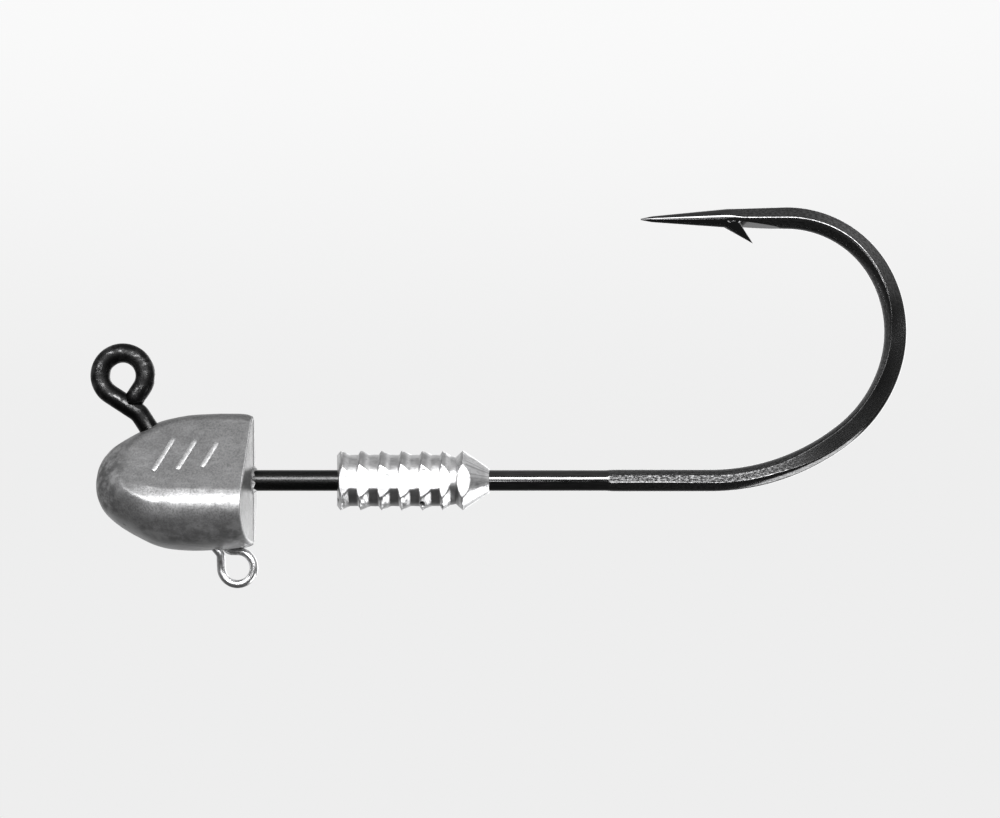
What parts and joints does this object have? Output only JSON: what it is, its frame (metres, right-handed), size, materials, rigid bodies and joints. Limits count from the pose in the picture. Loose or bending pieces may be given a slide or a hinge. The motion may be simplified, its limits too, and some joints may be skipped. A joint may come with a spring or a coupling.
{
  "type": "jig head",
  "caption": "Fishing jig head: forged barbed hook with a sloping line eye, bullet-shaped lead head, toothed bait keeper on the shank and a wire eyelet under the belly.",
  "frame": {"origin": "centre of the shank where it leaves the back face of the lead head", "axes": "+X along the shank from the head towards the bend, +Z towards the hook point's side, Y across the hook"},
  "size_m": [0.0843, 0.0114, 0.0394],
  "materials": {
    "hook_wire": "gloss black nickel",
    "cast_lead": "satin, as cast",
    "keeper_lead": "bright, as cast",
    "eyelet_wire": "polished"
  },
  "bodies": {
    "root": {"hook": "hook_wire", "lead_head": "cast_lead", "bait_keeper": "keeper_lead", "belly_eyelet": "eyelet_wire"}
  },
  "joints": []
}
